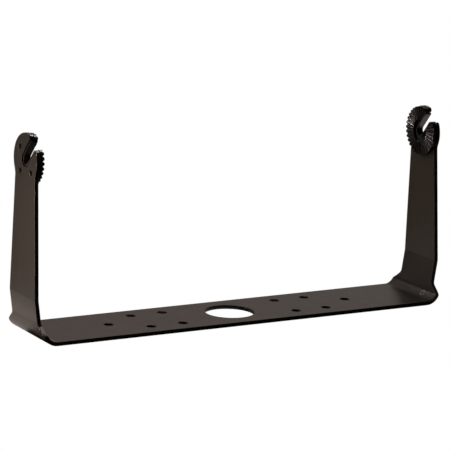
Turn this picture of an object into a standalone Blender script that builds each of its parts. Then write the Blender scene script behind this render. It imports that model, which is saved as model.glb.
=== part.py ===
"""Gimbal mounting bracket of a marine chartplotter, built piece by piece in Blender 4.5.

One steel strip is bent into a wide U: a flat base that is screwed down, and two tapering arms with round
heads. A moulded ratchet disc is screwed inside each head. The display hangs between the two discs.

Frame: metres, +Z up, +X along the base, -Y is the front that the head slots open towards. The origin is the
middle of the base's underside.
"""
import math

import bmesh
import bpy
from mathutils import Matrix, Vector

# The bent strip
OVERALL_WIDTH = 0.340
SHEET = 0.003
BASE_DEPTH = 0.060
BEND_RADIUS = 0.008
CREASE_RADIUS = 0.006
CREASE_HEIGHT = 0.0320
LEG_LEAN = math.radians(8.0)
TOE_IN = math.radians(0.8)
EDGE_ROUND = 0.0004

# Depths of the arms' edges, at the crease and as they would be at the height of the pivot
LEG_FRONT = -0.0205
LEG_BACK = 0.0211
ARM_FRONT = -0.0125
ARM_BACK = 0.0180

# Shoulders, where the base's full depth narrows to the leg: distances along the strip past the flat base
SHOULDER_TOP = 0.0180
FRONT_SHOULDER_START = 0.0114
BACK_SHOULDER_START = 0.0109
SHOULDER_OUTER_ROUND = 0.002
SHOULDER_INNER_ROUND = 0.004

# Round heads, each with an open slot
PIVOT_DEPTH = 0.0029
PIVOT_HEIGHT = 0.1284
HEAD_RADIUS = 0.0190
NECK_RADIUS = 0.009
SLOT_RISE = math.radians(49.5)
SHEET_SLOT = 0.0054
SLOT_MOUTH_ROUND = 0.002

# Holes in the base
CABLE_HOLE_RADIUS = 0.0182
FIXING_HOLE_RADIUS = 0.0035
PAIRED_HOLE_PLACES = (0.048, 0.074)
PAIRED_HOLE_DEPTH = 0.016
END_HOLE_PLACE = 0.1005
HOLE_EDGE = 0.0004
HANG_HOLE_RADIUS = 0.0012
HANG_HOLE_DEPTH = -0.014
HANG_HOLE_ALONG_BEND = 0.55

# Ratchet discs, measured from the arm's inner face
GAP = 0.0003
DISC_RADIUS = 0.0186
DISC_HEIGHT = 0.0032
TOOTH_COUNT = 32
TOOTH_DEPTH = 0.0013
TOOTH_FLANK = ((0.14, 0.0), (0.38, 0.13), (0.64, 0.46), (0.92, 1.0))
HUB_RADIUS = 0.0087
HUB_FLOOR = 0.0010
HUB_RELIEF = 0.0004
HUB_REACH = 0.011
DISC_SLOT = 0.0037
DISC_MOUTH_ROUND = 0.003
COLLAR = 0.0046
COLLAR_TOP = 0.0030
COLLAR_TAIL = 0.0024
COLLAR_LENGTH = 0.0150

# Screws, three to a disc
SCREW_CIRCLE = 0.0120
SCREW_TURNS = (90.0, 180.0, 270.0)
SCREW_HEAD_RADIUS = 0.0019
SCREW_HEAD_SINK = 0.0002
SCREW_HEAD_CLEARANCE = 0.0004
SHANK_RADIUS = 0.0010
SCREW_REACH = 0.0013
RECESS_WIDTH = 0.0005
RECESS_SPAN = 0.0022
RECESS_DEPTH = 0.0006
RECESS_TAPER = 0.6

# Fineness of round surfaces
ARC_STEP = math.radians(7.0)
BEND_STEP = math.radians(10.5)
LARGE_SIDES = 72
SMALL_SIDES = 24
OVERCUT = 0.001

# The strip's middle line, as lengths and turns from the centre of the base to an arm's end
MID_BEND = BEND_RADIUS + SHEET / 2
MID_CREASE = CREASE_RADIUS + SHEET / 2
BEND_TURN = math.pi / 2 - LEG_LEAN
CREASE_TURN = LEG_LEAN + TOE_IN
LEG_LENGTH = (CREASE_HEIGHT - SHEET / 2 - MID_BEND * (1 - math.cos(BEND_TURN))
              - MID_CREASE * math.cos(BEND_TURN)) / math.sin(BEND_TURN)
HALF_BASE = (OVERALL_WIDTH / 2 - SHEET / 2 - MID_BEND * math.sin(BEND_TURN)
             - LEG_LENGTH * math.cos(BEND_TURN) - MID_CREASE * (1 - math.sin(BEND_TURN)))
MIDDLE_LINE = (
    (HALF_BASE, 0.0),
    (MID_BEND * BEND_TURN, BEND_TURN),
    (LEG_LENGTH, 0.0),
    (MID_CREASE * CREASE_TURN, CREASE_TURN),
    (PIVOT_HEIGHT + HEAD_RADIUS, 0.0),
)
ARM_START = sum(length for length, turn in MIDDLE_LINE[:-1])


def clear_scene():
    for item in list(bpy.data.objects):
        bpy.data.objects.remove(item, do_unlink=True)


def finish(name, colour, roughness, metallic):
    material = bpy.data.materials.new(name)
    material.use_nodes = True
    shader = material.node_tree.nodes["Principled BSDF"]
    shader.inputs["Base Color"].default_value = (*colour, 1.0)
    shader.inputs["Roughness"].default_value = roughness
    shader.inputs["Metallic"].default_value = metallic
    return material


# Outlines, as flat points


def arc_between(centre, start, end):
    """Points on the circle round centre, the short way from start to end, both included."""
    first = math.atan2(start.y - centre.y, start.x - centre.x)
    last = math.atan2(end.y - centre.y, end.x - centre.x)
    sweep = math.remainder(last - first, 2 * math.pi)
    count = max(1, math.ceil(abs(sweep) / ARC_STEP))
    radius = (start - centre).length
    angles = [first + sweep * step / count for step in range(count + 1)]
    return [centre + radius * Vector((math.cos(angle), math.sin(angle))) for angle in angles]


def rounded_corner(before, corner, after, radius):
    """Arc that rounds the corner between two straight edges."""
    incoming = (before - corner).normalized()
    outgoing = (after - corner).normalized()
    half_angle = incoming.angle(outgoing) / 2
    centre = corner + (incoming + outgoing).normalized() * radius / math.sin(half_angle)
    reach = radius / math.tan(half_angle)
    return arc_between(centre, corner + incoming * reach, corner + outgoing * reach)


def neck(edge_start, edge_end, outward, head):
    """Fillet from an arm's straight edge up into its round head."""
    along = (edge_end - edge_start).normalized()
    start = edge_start + outward * NECK_RADIUS - head
    lift = start.dot(along)
    reach = HEAD_RADIUS + NECK_RADIUS
    travel = -lift - math.sqrt(lift ** 2 - start.length_squared + reach ** 2)
    centre = head + start + along * travel
    touch = centre + (head - centre).normalized() * NECK_RADIUS
    return arc_between(centre, centre - outward * NECK_RADIUS, touch)


def slot_outline(centre, along, half_width, mouth_round, head_radius):
    """Edge of an open slot, in from one side of its mouth, round its end and out again."""
    across = Vector((-along.y, along.x))
    mouth = half_width + mouth_round
    reach = math.sqrt((head_radius - mouth_round) ** 2 - mouth ** 2)
    end = centre - along * half_width
    points = []
    for side in (1, -1):
        round_centre = centre + along * reach + across * side * mouth
        on_head = centre + (round_centre - centre).normalized() * head_radius
        on_wall = round_centre - across * side * mouth_round
        lip = arc_between(round_centre, on_head, on_wall)
        quarter = arc_between(centre, centre + across * side * half_width, end)
        wall = lip + quarter
        points += wall if side == 1 else list(reversed(wall))[1:]
    return points


def across_from(direction):
    """Unit vector square to a direction, on the side away from the strip's middle."""
    return Vector((direction.y, -direction.x)).normalized()


def half_outline():
    """Edge of the flat strip's right half, as (depth, run), from the front of the base round to its back."""
    head = Vector((PIVOT_DEPTH, run_at_height(PIVOT_HEIGHT)))
    slot = Vector((-math.cos(SLOT_RISE), math.sin(SLOT_RISE)))
    front = shoulder(-BASE_DEPTH / 2, FRONT_SHOULDER_START, LEG_FRONT)
    back = shoulder(BASE_DEPTH / 2, BACK_SHOULDER_START, LEG_BACK)
    front_crease = Vector((LEG_FRONT, ARM_START))
    back_crease = Vector((LEG_BACK, ARM_START))
    front_aim = Vector((ARM_FRONT, head.y))
    back_aim = Vector((ARM_BACK, head.y))
    front_neck = neck(front_crease, front_aim, -across_from(front_aim - front_crease), head)
    back_neck = neck(back_crease, back_aim, across_from(back_aim - back_crease), head)
    opening = slot_outline(head, slot, SHEET_SLOT, SLOT_MOUTH_ROUND, HEAD_RADIUS)
    front_head = arc_between(head, front_neck[-1], opening[0])
    back_head = arc_between(head, opening[-1], back_neck[-1])
    up_front = front + [front_crease] + front_neck + front_head[1:-1]
    down_back = back_head[1:-1] + list(reversed(back_neck)) + [back_crease] + list(reversed(back))
    return up_front + opening + down_back


def shoulder(base_edge, start, leg_edge):
    """Slanted edge between the base's full depth and the narrower leg, both corners rounded."""
    outer = Vector((base_edge, HALF_BASE + start))
    inner = Vector((leg_edge, HALF_BASE + SHOULDER_TOP))
    below = Vector((base_edge, 0.0))
    above = Vector((leg_edge, ARM_START))
    outer_round = rounded_corner(below, outer, inner, SHOULDER_OUTER_ROUND)
    return outer_round + rounded_corner(outer, inner, above, SHOULDER_INNER_ROUND)


# The fold


def middle_line(run):
    """X, Z and heading of the strip's middle line at a distance along it from the centre."""
    x = 0.0
    z = SHEET / 2
    heading = 0.0
    for length, turn in MIDDLE_LINE:
        step = min(run, length)
        bend = turn * step / length
        chord = 2 * length / turn * math.sin(bend / 2) if turn else step
        x += chord * math.cos(heading + bend / 2)
        z += chord * math.sin(heading + bend / 2)
        heading += bend
        run -= step
    return x, z, heading


def run_at_height(height):
    """Distance along the strip at which an arm reaches a height."""
    start_height = middle_line(ARM_START)[1]
    return ARM_START + (height - start_height) / math.cos(TOE_IN)


def folded(point):
    """Place in the bent strip of a point (run, depth, height over the middle) of the flat one."""
    side = -1.0 if point.x < 0 else 1.0
    x, z, heading = middle_line(abs(point.x))
    return Vector((side * (x - point.z * math.sin(heading)), point.y, z + point.z * math.cos(heading)))


def bend_stations():
    """Distances along the strip at which its faces are split, so that they can follow the bends."""
    stations = []
    start = 0.0
    for length, turn in MIDDLE_LINE:
        if turn:
            count = math.ceil(turn / BEND_STEP)
            stations += [start + length * step / count for step in range(count + 1)]
        start += length
    return stations


def inset(outline, distance):
    """The closed outline moved inwards; its points run anticlockwise."""
    moved = []
    for before, point, after in zip(outline[-1:] + outline[:-1], outline, outline[1:] + outline[:1]):
        arriving = (point - before).normalized()
        leaving = (after - point).normalized()
        bisector = (arriving.orthogonal() + leaving.orthogonal()).normalized()
        moved.append(point + bisector * distance / bisector.dot(arriving.orthogonal()))
    return moved


def rounded_sheet_levels():
    """Inset and height of each outline in the stack that makes a sheet with rounded edges."""
    corner = EDGE_ROUND * (1 - math.cos(math.pi / 4))
    lower = [(EDGE_ROUND, 0.0), (corner, corner), (0.0, EDGE_ROUND)]
    upper = [(distance, SHEET - height) for distance, height in reversed(lower)]
    return [(distance, height - SHEET / 2) for distance, height in lower + upper]


def strip_mesh():
    """The bent strip with rounded edges, before its holes are cut."""
    outline = half_outline()
    right = [Vector((point.y, point.x)) for point in outline]
    left = [Vector((-point.x, point.y)) for point in reversed(right)]
    loops = []
    for distance, height in rounded_sheet_levels():
        loops.append([point.to_3d() + Vector((0, 0, height)) for point in inset(right + left, distance)])
    mesh = bmesh.new()
    add_stack(mesh, loops)
    for station in bend_stations():
        for side in (-1, 1):
            whole = mesh.verts[:] + mesh.edges[:] + mesh.faces[:]
            bmesh.ops.bisect_plane(mesh, geom=whole, dist=1e-6, plane_co=(side * station, 0, 0),
                                   plane_no=(1, 0, 0))
    for vert in mesh.verts:
        vert.co = folded(vert.co)
    return mesh


# Solids


def add_stack(mesh, loops):
    """Add a closed solid: loops of equally many points, joined one to the next and capped at both ends."""
    rings = [[mesh.verts.new(point) for point in loop] for loop in loops]
    count = len(rings[0])
    for lower, upper in zip(rings, rings[1:]):
        for step in range(count):
            after = (step + 1) % count
            mesh.faces.new((lower[step], lower[after], upper[after], upper[step]))
    mesh.faces.new(list(reversed(rings[0])))
    mesh.faces.new(rings[-1])


def add_turned(mesh, profile, sides, placing=Matrix.Identity(4)):
    """Add a solid turned round Z; the profile's (radius, height) points run upwards."""
    angles = [2 * math.pi * step / sides for step in range(sides)]
    loops = []
    for radius, height in profile:
        circle = [(radius * math.cos(angle), radius * math.sin(angle), height) for angle in angles]
        loops.append([placing @ Vector(point) for point in circle])
    add_stack(mesh, loops)


def add_prism(mesh, outline, low, high, top_scale=1.0):
    """Add an upright solid on a flat outline; its top may be a smaller copy of its base."""
    bottom = [Vector((point.x, point.y, low)) for point in outline]
    top = [Vector((point.x * top_scale, point.y * top_scale, high)) for point in outline]
    add_stack(mesh, (bottom, top))


def add_hole(mesh, radius, placing):
    """Add a cutter for a round hole with chamfered edges; placing's Z runs through the sheet."""
    mouth = radius + HOLE_EDGE + OVERCUT
    profile = (
        (mouth, -OVERCUT),
        (radius, HOLE_EDGE),
        (radius, SHEET - HOLE_EDGE),
        (mouth, SHEET + OVERCUT),
    )
    sides = LARGE_SIDES if radius > 2 * FIXING_HOLE_RADIUS else SMALL_SIDES
    add_turned(mesh, profile, sides, placing)


def place(name, mesh, material=None, location=Matrix.Identity(4)):
    """Make an object of a bmesh, with its own material."""
    bmesh.ops.recalc_face_normals(mesh, faces=mesh.faces[:])
    data = bpy.data.meshes.new(name)
    mesh.to_mesh(data)
    mesh.free()
    data.shade_smooth()
    data.set_sharp_from_angle(angle=math.radians(30))
    if material:
        data.materials.append(material)
    item = bpy.data.objects.new(name, data)
    item.matrix_world = location
    bpy.context.collection.objects.link(item)
    return item


def combine(target, other, operation):
    """Union another object with the target, or cut it away; the other one stays as a guide."""
    other.hide_render = True
    other.display_type = "WIRE"
    boolean = target.modifiers.new(other.name, "BOOLEAN")
    boolean.operation = operation
    boolean.object = other


# Sub-parts


def head_frame(side):
    """Frame on an arm's inner face at its pivot: Y up the arm, Z inwards, and X to the front on the right arm
    or to the back on the left one."""
    x, z, heading = middle_line(run_at_height(PIVOT_HEIGHT))
    inward = Vector((-side * math.sin(heading), 0, math.cos(heading)))
    up = Vector((side * math.cos(heading), 0, math.sin(heading)))
    origin = Vector((side * x, PIVOT_DEPTH, z)) + inward * SHEET / 2
    frame = Matrix((Vector((0, -side, 0)), up, inward)).transposed().to_4x4()
    return Matrix.Translation(origin) @ frame


def screw_places(side):
    """Centres of a disc's screws, in the head's frame."""
    turns = [SLOT_RISE + math.radians(turn) for turn in SCREW_TURNS]
    return [SCREW_CIRCLE * Vector((side * math.cos(turn), math.sin(turn), 0)) for turn in turns]


def base_hole_places():
    """Fixing holes of the base: two pairs and a single one on each side."""
    places = []
    for side in (-1, 1):
        for place_x in PAIRED_HOLE_PLACES:
            places += [(side * place_x, depth, 0) for depth in (-PAIRED_HOLE_DEPTH, PAIRED_HOLE_DEPTH)]
        places.append((side * END_HOLE_PLACE, 0, 0))
    return places


def yoke_holes():
    """Cutter for every hole of the strip."""
    mesh = bmesh.new()
    add_hole(mesh, CABLE_HOLE_RADIUS, Matrix.Identity(4))
    for hole in base_hole_places():
        add_hole(mesh, FIXING_HOLE_RADIUS, Matrix.Translation(hole))
    x, z, heading = middle_line(HALF_BASE + MID_BEND * BEND_TURN * HANG_HOLE_ALONG_BEND)
    slant = Matrix.Translation((x, HANG_HOLE_DEPTH, z)) @ Matrix.Rotation(-heading, 4, "Y")
    add_hole(mesh, HANG_HOLE_RADIUS, slant @ Matrix.Translation((0, 0, -SHEET / 2)))
    mouth = SCREW_HEAD_RADIUS + SCREW_HEAD_SINK + SCREW_HEAD_CLEARANCE
    bore = SHANK_RADIUS + GAP
    countersink = (
        (mouth + OVERCUT, -SHEET - OVERCUT),
        (bore, -SHEET + mouth - bore),
        (bore, OVERCUT),
    )
    for side in (-1, 1):
        for centre in screw_places(side):
            placing = head_frame(side) @ Matrix.Translation(centre)
            add_turned(mesh, countersink, SMALL_SIDES, placing)
    return place("yoke_holes", mesh)


def bracket_yoke(coating):
    yoke = place("bracket_yoke", strip_mesh(), coating)
    combine(yoke, yoke_holes(), "DIFFERENCE")
    return yoke


def toothed_ring():
    """Ring with radial teeth: rounded crests at one height, narrow roots that grow deeper towards the rim."""
    mesh = bmesh.new()
    pitch = 2 * math.pi / TOOTH_COUNT
    corners = [(-shift, depth) for shift, depth in reversed(TOOTH_FLANK)]
    corners += TOOTH_FLANK
    ribs = []
    for tooth in range(TOOTH_COUNT):
        for shift, depth in corners:
            angle = pitch * (tooth + shift / 2)
            rib = []
            for radius, height in tooth_section(depth):
                rib.append(mesh.verts.new((radius * math.cos(angle), radius * math.sin(angle), height)))
            ribs.append(rib)
    for rib, after in zip(ribs, ribs[1:] + ribs[:1]):
        for step in range(len(rib)):
            following = (step + 1) % len(rib)
            mesh.faces.new((rib[step], after[step], after[following], rib[following]))
    return mesh


def tooth_section(depth):
    """Section of the ring through a crest (depth 0) or a root (depth 1), as (radius, height) points."""
    inner_fall = depth * TOOTH_DEPTH * HUB_RADIUS / DISC_RADIUS
    return (
        (HUB_RADIUS, GAP),
        (DISC_RADIUS, GAP),
        (DISC_RADIUS, DISC_HEIGHT - depth * TOOTH_DEPTH),
        (HUB_RADIUS, DISC_HEIGHT - inner_fall),
    )


def u_shape(side, half_width, length):
    """Outline of a straight bar from the pivot out along the slot, with a round inner end."""
    along = Vector((side * math.cos(SLOT_RISE), math.sin(SLOT_RISE)))
    across = Vector((-along.y, along.x)) * half_width
    left_end = arc_between(Vector((0, 0)), across, -along * half_width)
    right_end = arc_between(Vector((0, 0)), -along * half_width, -across)
    return [along * length + across] + left_end + right_end[1:] + [along * length - across]


def disc_cutter(side):
    """The disc's slot and its blind screw holes."""
    mesh = bmesh.new()
    along = Vector((side * math.cos(SLOT_RISE), math.sin(SLOT_RISE)))
    slot = slot_outline(Vector((0, 0)), along, DISC_SLOT, DISC_MOUTH_ROUND, DISC_RADIUS)
    add_prism(mesh, [slot[0] * 2] + slot + [slot[-1] * 2], -2 * SHEET, 2 * SHEET)
    bore = SHANK_RADIUS + GAP
    for centre in screw_places(side):
        add_turned(mesh, ((bore, 0), (bore, SCREW_REACH + GAP)), SMALL_SIDES, Matrix.Translation(centre))
    return mesh


def ratchet_disc(label, side, plastic):
    """Toothed ring with a thin hub and a collar that lines the head's slot."""
    frame = head_frame(side)
    disc = place("ratchet_disc_" + label, toothed_ring(), plastic, frame)
    hub = bmesh.new()
    add_turned(hub, ((HUB_REACH, HUB_RELIEF), (HUB_REACH, HUB_FLOOR)), LARGE_SIDES)
    collar = bmesh.new()
    add_prism(collar, u_shape(side, COLLAR, COLLAR_LENGTH), -COLLAR_TAIL, COLLAR_TOP)
    combine(disc, place("hub_" + label, hub, location=frame), "UNION")
    combine(disc, place("collar_" + label, collar, location=frame), "UNION")
    combine(disc, place("disc_cuts_" + label, disc_cutter(side), location=frame), "DIFFERENCE")
    return disc


def cross_outline():
    """Outline of a cross recess, twelve corners."""
    half_width = RECESS_WIDTH / 2
    half_span = RECESS_SPAN / 2
    points = []
    for turn in range(4):
        spin = Matrix.Rotation(turn * math.pi / 2, 2)
        corners = ((half_span, -half_width), (half_span, half_width), (half_width, half_width))
        points += [spin @ Vector(corner) for corner in corners]
    return points


def disc_screws(label, side, steel):
    """Countersunk screws of one disc; each one's Z runs from its head into the disc."""
    frame = head_frame(side)
    length = SHEET - SCREW_HEAD_SINK + SCREW_REACH
    cone = SCREW_HEAD_RADIUS - SHANK_RADIUS
    profile = (
        (SCREW_HEAD_RADIUS, 0),
        (SHANK_RADIUS, cone),
        (SHANK_RADIUS, length - SHANK_RADIUS / 2),
        (SHANK_RADIUS / 2, length),
    )
    for number, centre in enumerate(screw_places(side), start=1):
        head_centre = centre - Vector((0, 0, SHEET - SCREW_HEAD_SINK))
        placing = frame @ Matrix.Translation(head_centre)
        body = bmesh.new()
        add_turned(body, profile, SMALL_SIDES)
        screw = place(f"disc_screw_{label}_{number}", body, steel, placing)
        recess = bmesh.new()
        add_prism(recess, cross_outline(), -OVERCUT, RECESS_DEPTH, RECESS_TAPER)
        combine(screw, place(f"recess_{label}_{number}", recess, location=placing), "DIFFERENCE")


def main():
    clear_scene()
    coating = finish("powder_coated_steel", (0.050, 0.043, 0.038), 0.5, 0.0)
    plastic = finish("moulded_plastic", (0.020, 0.019, 0.018), 0.35, 0.0)
    steel = finish("blackened_screw_steel", (0.030, 0.029, 0.028), 0.4, 1.0)
    bracket_yoke(coating)
    for label, side in (("left", -1), ("right", 1)):
        ratchet_disc(label, side, plastic)
        disc_screws(label, side, steel)


main()
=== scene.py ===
"""Looks of the chartplotter's gimbal bracket: powder-coated strip, moulded ratchet discs and small dark
screws, on a white floor in soft studio light."""
import math

import bpy
from mathutils import Matrix, Vector


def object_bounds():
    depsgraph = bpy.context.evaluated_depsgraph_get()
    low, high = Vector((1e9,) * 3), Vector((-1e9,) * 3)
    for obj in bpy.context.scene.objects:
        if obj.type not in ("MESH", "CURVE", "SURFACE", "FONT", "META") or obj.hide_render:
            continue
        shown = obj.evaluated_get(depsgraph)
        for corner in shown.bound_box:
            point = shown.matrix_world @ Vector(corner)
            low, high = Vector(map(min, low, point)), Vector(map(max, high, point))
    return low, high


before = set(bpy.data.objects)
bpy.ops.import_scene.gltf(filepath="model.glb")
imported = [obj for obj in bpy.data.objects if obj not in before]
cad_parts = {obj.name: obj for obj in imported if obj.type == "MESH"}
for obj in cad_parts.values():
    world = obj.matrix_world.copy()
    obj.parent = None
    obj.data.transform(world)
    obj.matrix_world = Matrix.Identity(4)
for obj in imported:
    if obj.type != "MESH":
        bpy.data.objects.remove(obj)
CAD_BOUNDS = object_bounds()

MM = 0.001
LEFT = CAD_BOUNDS[0].x
RIGHT = CAD_BOUNDS[1].x

# Camera: a long lens from the front left, a little above the bracket
VIEW_AZIMUTH = math.radians(30.15)
VIEW_ELEVATION = math.radians(12.79)
VIEW_ROLL = math.radians(2.19)
VIEW_DISTANCE = 2.027
VIEW_AIM_ACROSS = -0.0057
VIEW_AIM_HEIGHT = 0.0683
LENS_MM = 220.9
SENSOR_MM = 36.0
FARTHEST_SEEN = 30.0

# Floor, a hair below the bracket's underside
FLOOR_SIZE = 24.0
FLOOR_DROP = 0.0001
WHITE = (1.0, 1.0, 1.0, 1.0)
BLACK = (0.0, 0.0, 0.0, 1.0)

# Soft light from far away. Each lobe: the direction it comes from, the cosine of the angle round it where it
# starts, the one where it is full, and how bright it is there.
LOBES = (
    # behind right, mirrored by the base
    ((0.49, 0.843, 0.22), 0.75, 0.98, 0.288),
    ((0.85, 0.50, 0.15), 0.75, 0.98, 0.218),
    # behind left, mirrored by the arms and the right bend
    ((-0.46, 0.843, -0.18), 0.80, 0.99, 0.110),
    ((-0.25, 0.84, 0.45), 0.92, 0.99, 0.25),
    # fills from above and from the front
    ((0.0, 0.55, 0.83), 0.80, 0.98, 0.26),
    ((0.0, -0.97, 0.26), 0.80, 0.98, 0.06),
    ((0.60, -0.75, 0.25), 0.80, 0.98, 0.03),
)
WARM = (1.0, 0.85, 0.788)
WARMER = (1.0, 0.82, 0.69)

# Lamps near the bracket. Each: its name, where it stands, the point it is aimed at, width, height, watts,
# tint, and the spread in degrees that its grid leaves.
NO_GRID = 180.0
LEFT_ARM = (LEFT, -0.01, 0.08)
LEFT_HEAD = (LEFT, 0.0, 0.15)
RIGHT_HEAD = (RIGHT - 0.01, -0.01, 0.155)
LAMPS = (
    # the left arm's outer face
    ("left_lamp", (-0.69, 0.27, 0.09), LEFT_ARM, 0.04, 0.16, 0.048, WARMER, 18.0),
    # the left head's rim
    ("head_lamp", (-0.09, 0.035, 0.265), LEFT_HEAD, 0.06, 0.06, 0.27, WARM, NO_GRID),
    # the right head and its disc, from two heights
    ("key", (-0.52, 0.65, 0.70), RIGHT_HEAD, 0.22, 0.22, 0.086, WARM, 6.0),
    ("key_low", (-0.64, 0.15, 0.57), RIGHT_HEAD, 0.22, 0.22, 0.036, WARM, 6.0),
)

# What the white floor sends up round the base, from just under it. Each: its name, place along X and Y,
# width, depth and watts.
FLOOR_LAMP_HEIGHT = -0.0005
FLOOR_LAMPS = (
    ("floor_right", 0.27, 0.02, 0.2, 0.12, 0.075),
    ("floor_middle", 0.0, 0.09, 1.0, 0.16, 0.135),
    ("floor_left", -0.45, 0.10, 0.5, 0.16, 0.048),
    ("floor_near", -0.25, 0.06, 0.2, 0.10, 0.030),
)

# Each finish's darkest and lightest colour
COAT_DARK = (0.021, 0.0165, 0.0102)
COAT_LIGHT = (0.023, 0.0181, 0.0114)
PLASTIC_DARK = (0.005, 0.0045, 0.004)
PLASTIC_LIGHT = (0.008, 0.0072, 0.0065)
SCREW_DARK = (0.0015, 0.0009, 0.0005)
SCREW_LIGHT = (0.0028, 0.0017, 0.0010)

# Painted highlight: a light steel-grey patch painted on the coat round the small hang hole in the right bend,
# standing in for the light that the hole's rim catches
HANG_HOLE_PAINTED_HIGHLIGHT = (0.36, 0.34, 0.31)
HANG_HOLE_MM = (RIGHT / MM - 8.3, -14.0, 5.4)
PAINTED_HIGHLIGHT_RADIUS_MM = 2.0
PAINTED_HIGHLIGHT_EDGE_MM = 2.6

# Where a noise's middle range ends: for a colour's dark and light, and for a value's low and high
CLOUD_DARK = 0.35
CLOUD_LIGHT = 0.65
DRIFT_LOW = 0.3
DRIFT_HIGH = 0.7

# Places of the colour mix node's sockets, which share their names
MIX_SHARE = 0
MIX_BASE = 6
MIX_OVER = 7
MIX_RESULT = 2

# Shading of the CAD nodes: gap that is welded, angle under which faces count as one flat face, how much large
# faces lead the normals, and the angle from which an edge stays crisp
WELD_GAP = 1e-6
FLAT_ANGLE = 0.3
LARGE_FACES_LEAD = 95
YOKE_CRISP_ANGLE = 50
DISC_CRISP_ANGLE = 25
SCREW_CRISP_ANGLE = 30


# Camera and stage


def add_camera():
    forward = Vector((math.sin(VIEW_AZIMUTH) * math.cos(VIEW_ELEVATION),
                      math.cos(VIEW_AZIMUTH) * math.cos(VIEW_ELEVATION),
                      -math.sin(VIEW_ELEVATION)))
    level = Vector((math.cos(VIEW_AZIMUTH), -math.sin(VIEW_AZIMUTH), 0.0))
    upright = level.cross(forward)
    right = level * math.cos(VIEW_ROLL) + upright * math.sin(VIEW_ROLL)
    up = upright * math.cos(VIEW_ROLL) - level * math.sin(VIEW_ROLL)
    aim = level * VIEW_AIM_ACROSS + Vector((0.0, 0.0, VIEW_AIM_HEIGHT))
    data = bpy.data.cameras.new("camera")
    data.lens = LENS_MM
    data.sensor_width = SENSOR_MM
    data.clip_end = FARTHEST_SEEN
    camera = bpy.data.objects.new("camera", data)
    turn = Matrix((right, up, -forward)).transposed().to_4x4()
    camera.matrix_world = Matrix.Translation(aim - forward * VIEW_DISTANCE) @ turn
    bpy.context.collection.objects.link(camera)
    bpy.context.scene.camera = camera


def add_floor():
    """White floor that only the camera sees: the bracket mirrors the studio's light instead."""
    bpy.ops.mesh.primitive_plane_add(size=FLOOR_SIZE, location=(0.0, 0.0, -FLOOR_DROP))
    floor = bpy.context.object
    floor.name = "floor"
    material = bpy.data.materials.new("white_floor")
    material.use_nodes = True
    shader = material.node_tree.nodes["Principled BSDF"]
    shader.inputs["Base Color"].default_value = BLACK
    shader.inputs["Specular IOR Level"].default_value = 0.0
    shader.inputs["Emission Color"].default_value = WHITE
    shader.inputs["Emission Strength"].default_value = 1.0
    floor.data.materials.append(material)
    floor.visible_diffuse = False
    floor.visible_glossy = False
    floor.visible_shadow = False


# Light


def add_lobe(nodes, links, direction, aim, start, full, brightness):
    dot = nodes.new("ShaderNodeVectorMath")
    dot.operation = "DOT_PRODUCT"
    dot.inputs[1].default_value = Vector(aim).normalized()
    links.new(direction, dot.inputs[0])
    shape = nodes.new("ShaderNodeMapRange")
    shape.interpolation_type = "SMOOTHSTEP"
    shape.inputs["From Min"].default_value = start
    shape.inputs["From Max"].default_value = full
    shape.inputs["To Min"].default_value = 0.0
    shape.inputs["To Max"].default_value = brightness
    links.new(dot.outputs["Value"], shape.inputs["Value"])
    return shape.outputs["Result"]


def add_world():
    """The lobes light the bracket; the camera sees plain white behind it."""
    world = bpy.data.worlds.new("studio")
    bpy.context.scene.world = world
    world.use_nodes = True
    nodes = world.node_tree.nodes
    links = world.node_tree.links
    nodes.clear()
    direction = nodes.new("ShaderNodeTexCoord").outputs["Generated"]
    total = add_lobe(nodes, links, direction, *LOBES[0])
    for lobe in LOBES[1:]:
        add = nodes.new("ShaderNodeMath")
        links.new(total, add.inputs[0])
        links.new(add_lobe(nodes, links, direction, *lobe), add.inputs[1])
        total = add.outputs[0]
    studio = nodes.new("ShaderNodeBackground")
    studio.inputs["Color"].default_value = (*WARM, 1.0)
    links.new(total, studio.inputs["Strength"])
    backdrop = nodes.new("ShaderNodeBackground")
    backdrop.inputs["Color"].default_value = WHITE
    seen = nodes.new("ShaderNodeLightPath")
    mix = nodes.new("ShaderNodeMixShader")
    links.new(seen.outputs["Is Camera Ray"], mix.inputs["Fac"])
    links.new(studio.outputs[0], mix.inputs[1])
    links.new(backdrop.outputs[0], mix.inputs[2])
    output = nodes.new("ShaderNodeOutputWorld")
    links.new(mix.outputs[0], output.inputs["Surface"])


def add_lamp(name, place, aim, width, height, watts, tint, spread):
    data = bpy.data.lights.new(name, "AREA")
    data.shape = "RECTANGLE"
    data.size = width
    data.size_y = height
    data.energy = watts
    data.color = tint
    data.spread = math.radians(spread)
    lamp = bpy.data.objects.new(name, data)
    lamp.location = place
    lamp.rotation_mode = "QUATERNION"
    lamp.rotation_quaternion = (Vector(aim) - Vector(place)).to_track_quat("-Z", "Y")
    bpy.context.collection.objects.link(lamp)


def add_lamps():
    for lamp in LAMPS:
        add_lamp(*lamp)
    for name, x, y, width, depth, watts in FLOOR_LAMPS:
        add_lamp(name, (x, y, FLOOR_LAMP_HEIGHT), (x, y, 1.0), width, depth, watts, WARM, NO_GRID)


# Materials


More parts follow.
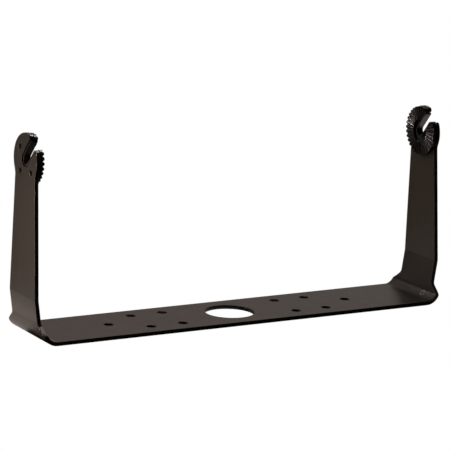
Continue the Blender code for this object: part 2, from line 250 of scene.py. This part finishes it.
class Finish:
    """A Principled material with helpers that hang patterns, in millimetres, on its sockets."""

    def __init__(self, name, **values):
        self.material = bpy.data.materials.new(name)
        self.material.use_nodes = True
        self.nodes = self.material.node_tree.nodes
        self.links = self.material.node_tree.links
        self.shader = self.nodes["Principled BSDF"]
        for socket, value in values.items():
            self.shader.inputs[socket.replace("_", " ")].default_value = value
        coordinates = self.nodes.new("ShaderNodeTexCoord")
        scale = self.nodes.new("ShaderNodeMapping")
        scale.inputs["Scale"].default_value = (1 / MM, 1 / MM, 1 / MM)
        self.links.new(coordinates.outputs["Object"], scale.inputs["Vector"])
        self.place = scale.outputs["Vector"]

    def noise(self, size_mm, detail=2.0):
        noise = self.nodes.new("ShaderNodeTexNoise")
        noise.inputs["Scale"].default_value = 1.0 / size_mm
        noise.inputs["Detail"].default_value = detail
        self.links.new(self.place, noise.inputs["Vector"])
        return noise.outputs["Fac"]

    def clouds(self, source, dark, light):
        """Colour that drifts from dark to light over the middle of a noise's range."""
        ramp = self.nodes.new("ShaderNodeValToRGB")
        first, last = ramp.color_ramp.elements
        first.position = CLOUD_DARK
        first.color = (*dark, 1.0)
        last.position = CLOUD_LIGHT
        last.color = (*light, 1.0)
        self.links.new(source, ramp.inputs["Fac"])
        return ramp.outputs["Color"]

    def drift(self, source, low, high):
        """Value that drifts from low to high over the middle of a noise's range."""
        drift = self.nodes.new("ShaderNodeMapRange")
        drift.inputs["From Min"].default_value = DRIFT_LOW
        drift.inputs["From Max"].default_value = DRIFT_HIGH
        drift.inputs["To Min"].default_value = low
        drift.inputs["To Max"].default_value = high
        self.links.new(source, drift.inputs["Value"])
        return drift.outputs["Result"]

    def near(self, centre_mm, full_mm, none_mm):
        """1 within a distance of a point, fading to 0 at a greater one."""
        distance = self.nodes.new("ShaderNodeVectorMath")
        distance.operation = "DISTANCE"
        distance.inputs[1].default_value = centre_mm
        self.links.new(self.place, distance.inputs[0])
        near = self.nodes.new("ShaderNodeMapRange")
        near.interpolation_type = "SMOOTHSTEP"
        near.inputs["From Min"].default_value = full_mm
        near.inputs["From Max"].default_value = none_mm
        near.inputs["To Min"].default_value = 1.0
        near.inputs["To Max"].default_value = 0.0
        self.links.new(distance.outputs["Value"], near.inputs["Value"])
        return near.outputs["Result"]

    def mix(self, share, base, over):
        """The base colour, with another laid over it by share."""
        mix = self.nodes.new("ShaderNodeMix")
        mix.data_type = "RGBA"
        self.links.new(share, mix.inputs[MIX_SHARE])
        self.links.new(base, mix.inputs[MIX_BASE])
        mix.inputs[MIX_OVER].default_value = (*over, 1.0)
        return mix.outputs[MIX_RESULT]

    def colour(self, source):
        self.links.new(source, self.shader.inputs["Base Color"])

    def roughness(self, source):
        self.links.new(source, self.shader.inputs["Roughness"])

    def relief(self, source, depth_mm, strength):
        bump = self.nodes.new("ShaderNodeBump")
        bump.inputs["Distance"].default_value = depth_mm * MM
        bump.inputs["Strength"].default_value = strength
        self.links.new(source, bump.inputs["Height"])
        self.links.new(bump.outputs["Normal"], self.shader.inputs["Normal"])


def powder_coat():
    finish = Finish("powder_coat", Roughness=0.36, IOR=1.5)
    coat = finish.clouds(finish.noise(size_mm=35.0, detail=3.0), COAT_DARK, COAT_LIGHT)
    # painted highlight round the hang hole: light steel-grey laid over the coat's colour there
    painted_highlight = finish.near(HANG_HOLE_MM, PAINTED_HIGHLIGHT_RADIUS_MM, PAINTED_HIGHLIGHT_EDGE_MM)
    finish.colour(finish.mix(painted_highlight, coat, HANG_HOLE_PAINTED_HIGHLIGHT))
    finish.roughness(finish.drift(finish.noise(size_mm=6.0, detail=3.0), low=0.345, high=0.375))
    finish.relief(finish.noise(size_mm=1.6), depth_mm=0.03, strength=0.45)
    return finish.material


def moulded_plastic():
    finish = Finish("moulded_plastic", Roughness=0.40, IOR=1.5)
    finish.colour(finish.clouds(finish.noise(size_mm=4.0), PLASTIC_DARK, PLASTIC_LIGHT))
    finish.roughness(finish.drift(finish.noise(size_mm=1.5, detail=3.0), low=0.36, high=0.44))
    finish.relief(finish.noise(size_mm=0.8), depth_mm=0.005, strength=0.3)
    return finish.material


def screw_steel():
    finish = Finish("blackened_screw_steel", Roughness=0.5, IOR=1.45, Specular_IOR_Level=0.03)
    finish.colour(finish.clouds(finish.noise(size_mm=0.9), SCREW_DARK, SCREW_LIGHT))
    finish.roughness(finish.drift(finish.noise(size_mm=0.4, detail=3.0), low=0.4, high=0.6))
    finish.relief(finish.noise(size_mm=0.3), depth_mm=0.006, strength=0.5)
    return finish.material


# Surface of the CAD nodes


def smooth(node, crisp_angle):
    """Round surfaces shade smoothly, flat ones stay flat, and edges sharper than the angle stay crisp."""
    node.data.shade_smooth()
    weld = node.modifiers.new("weld", "WELD")
    weld.merge_threshold = WELD_GAP
    whole = node.modifiers.new("whole_flat_faces", "DECIMATE")
    whole.decimate_type = "DISSOLVE"
    whole.angle_limit = math.radians(FLAT_ANGLE)
    split = node.modifiers.new("crisp_edges", "EDGE_SPLIT")
    split.split_angle = math.radians(crisp_angle)
    split.use_edge_sharp = False
    normals = node.modifiers.new("flat_faces_lead", "WEIGHTED_NORMAL")
    normals.mode = "FACE_AREA"
    normals.weight = LARGE_FACES_LEAD


def dress(node, material, crisp_angle):
    node.data.materials.clear()
    node.data.materials.append(material)
    smooth(node, crisp_angle)


def dress_nodes():
    coat = powder_coat()
    plastic = moulded_plastic()
    steel = screw_steel()
    for name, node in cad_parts.items():
        if name == "bracket_yoke":
            dress(node, coat, YOKE_CRISP_ANGLE)
        elif name.startswith("ratchet_disc"):
            dress(node, plastic, DISC_CRISP_ANGLE)
        else:
            dress(node, steel, SCREW_CRISP_ANGLE)


add_camera()
add_floor()
add_world()
add_lamps()
dress_nodes()
bpy.context.scene.view_settings.view_transform = "Standard"
